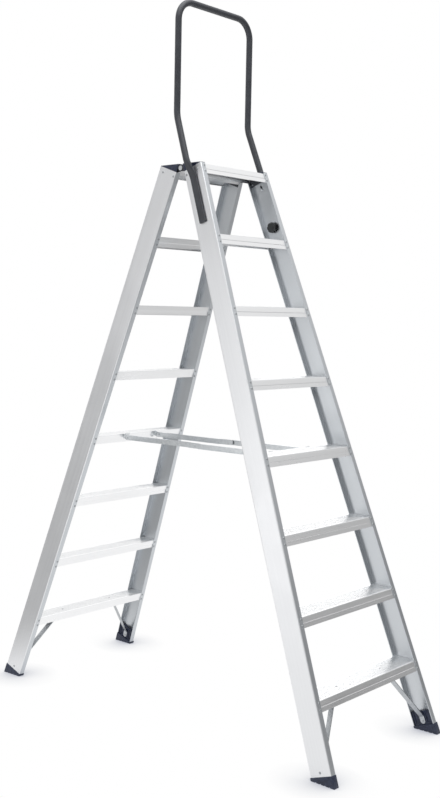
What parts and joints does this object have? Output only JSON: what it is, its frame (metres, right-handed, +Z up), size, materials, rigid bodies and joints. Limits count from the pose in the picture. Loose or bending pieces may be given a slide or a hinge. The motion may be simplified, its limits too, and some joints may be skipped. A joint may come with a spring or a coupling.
{
  "type": "trestle ladder",
  "caption": "Double-sided aluminium step ladder with splayed channel stiles, ribbed treads, folding spreader arms, wedge feet and a removable tubular grab rail.",
  "frame": {"origin": "floor level, at the middle of the four feet", "axes": "+Z up, +X across the treads, -Y towards the side with the grab rail"},
  "size_m": [0.611, 1.5526, 2.433],
  "materials": {
    "mill_aluminium": "extruded, satin",
    "zinc_steel": "zinc plated",
    "navy_plastic": "moulded, fine grain",
    "grey_coating": "powder coat",
    "black_plastic": "moulded, fine grain"
  },
  "bodies": {
    "front_frame": {"front_stile_left": "mill_aluminium", "front_stile_right": "mill_aluminium", "front_foot_left": "navy_plastic", "front_foot_right": "navy_plastic", "front_cap_left": "navy_plastic", "front_cap_right": "navy_plastic", "front_brace_left": "zinc_steel", "front_brace_right": "zinc_steel", "front_hinge_bracket_left": "grey_coating", "front_hinge_bracket_right": "grey_coating", "front_tread_1": "mill_aluminium", "front_tread_2": "mill_aluminium", "front_tread_3": "mill_aluminium", "front_tread_4": "mill_aluminium", "front_tread_5": "mill_aluminium", "front_tread_6": "mill_aluminium", "front_tread_7": "mill_aluminium", "front_top_tread": "mill_aluminium", "front_tread_rivets": "zinc_steel", "front_brace_rivets": "zinc_steel", "front_bracket_rivets": "zinc_steel", "front_spreader_brackets": "zinc_steel", "front_spreader_pins": "zinc_steel", "hinge_bolts": "zinc_steel"},
    "rear_frame": {"rear_stile_left": "mill_aluminium", "rear_stile_right": "mill_aluminium", "rear_foot_left": "navy_plastic", "rear_foot_right": "navy_plastic", "rear_cap_left": "navy_plastic", "rear_cap_right": "navy_plastic", "rear_brace_left": "zinc_steel", "rear_brace_right": "zinc_steel", "rear_hinge_bracket_left": "grey_coating", "rear_hinge_bracket_right": "grey_coating", "rear_tread_1": "mill_aluminium", "rear_tread_2": "mill_aluminium", "rear_tread_3": "mill_aluminium", "rear_tread_4": "mill_aluminium", "rear_tread_5": "mill_aluminium", "rear_tread_6": "mill_aluminium", "rear_tread_7": "mill_aluminium", "rear_top_tread": "mill_aluminium", "rear_tread_rivets": "zinc_steel", "rear_brace_rivets": "zinc_steel", "rear_bracket_rivets": "zinc_steel", "rear_spreader_brackets": "zinc_steel", "rear_spreader_pins": "zinc_steel"},
    "front_arm_left": {"front_link_left": "zinc_steel", "front_link_rivet_left": "zinc_steel"},
    "front_arm_right": {"front_link_right": "zinc_steel", "front_link_rivet_right": "zinc_steel"},
    "rear_arm_left": {"rear_link_left": "zinc_steel", "rear_link_rivet_left": "zinc_steel"},
    "rear_arm_right": {"rear_link_right": "zinc_steel", "rear_link_rivet_right": "zinc_steel"},
    "grab_rail": {"grab_rail": "grey_coating", "rail_bolts": "zinc_steel", "rail_studs": "zinc_steel"},
    "knob_left": {"knob_left": "black_plastic"},
    "knob_right": {"knob_right": "black_plastic"}
  },
  "joints": [
    {"name": "ladder_fold", "type": "hinge", "parent": "front_frame", "child": "rear_frame", "pos_m": [0, 0, 1.87], "axis": [-1, 0, 0], "range_deg": [0, 39.8]},
    {"name": "front_arm_left_fold", "type": "hinge", "parent": "front_frame", "child": "front_arm_left", "pos_m": [-0.085, -0.34136, 0.927], "axis": [1, 0, 0], "range_deg": [0, 70.1]},
    {"name": "front_arm_right_fold", "type": "hinge", "parent": "front_frame", "child": "front_arm_right", "pos_m": [0.085, -0.34136, 0.927], "axis": [1, 0, 0], "range_deg": [0, 70.1]},
    {"name": "rear_arm_left_fold", "type": "hinge", "parent": "rear_frame", "child": "rear_arm_left", "pos_m": [-0.085, 0.34136, 0.927], "axis": [-1, 0, 0], "range_deg": [0, 70.1]},
    {"name": "rear_arm_right_fold", "type": "hinge", "parent": "rear_frame", "child": "rear_arm_right", "pos_m": [0.085, 0.34136, 0.927], "axis": [-1, 0, 0], "range_deg": [0, 70.1]},
    {"name": "rail_lift", "type": "slide", "parent": "front_frame", "child": "grab_rail", "axis": [0, 0.3404, 0.9403], "range_m": [0, 0.012]},
    {"name": "knob_left_turn", "type": "hinge", "parent": "grab_rail", "child": "knob_left", "pos_m": [-0.1868, -0.118, 1.692], "axis": [-0.9979, 0.0219, 0.0605], "continuous": true},
    {"name": "knob_right_turn", "type": "hinge", "parent": "grab_rail", "child": "knob_right", "pos_m": [0.1868, -0.118, 1.692], "axis": [0.9979, 0.0219, 0.0605], "continuous": true}
  ],
  "couplings": [
    {"joint": "front_arm_left_fold", "follows": "ladder_fold", "ratio": 1.7613},
    {"joint": "front_arm_right_fold", "follows": "ladder_fold", "ratio": 1.7613},
    {"joint": "rear_arm_left_fold", "follows": "ladder_fold", "ratio": 1.7613},
    {"joint": "rear_arm_right_fold", "follows": "ladder_fold", "ratio": 1.7613}
  ]
}
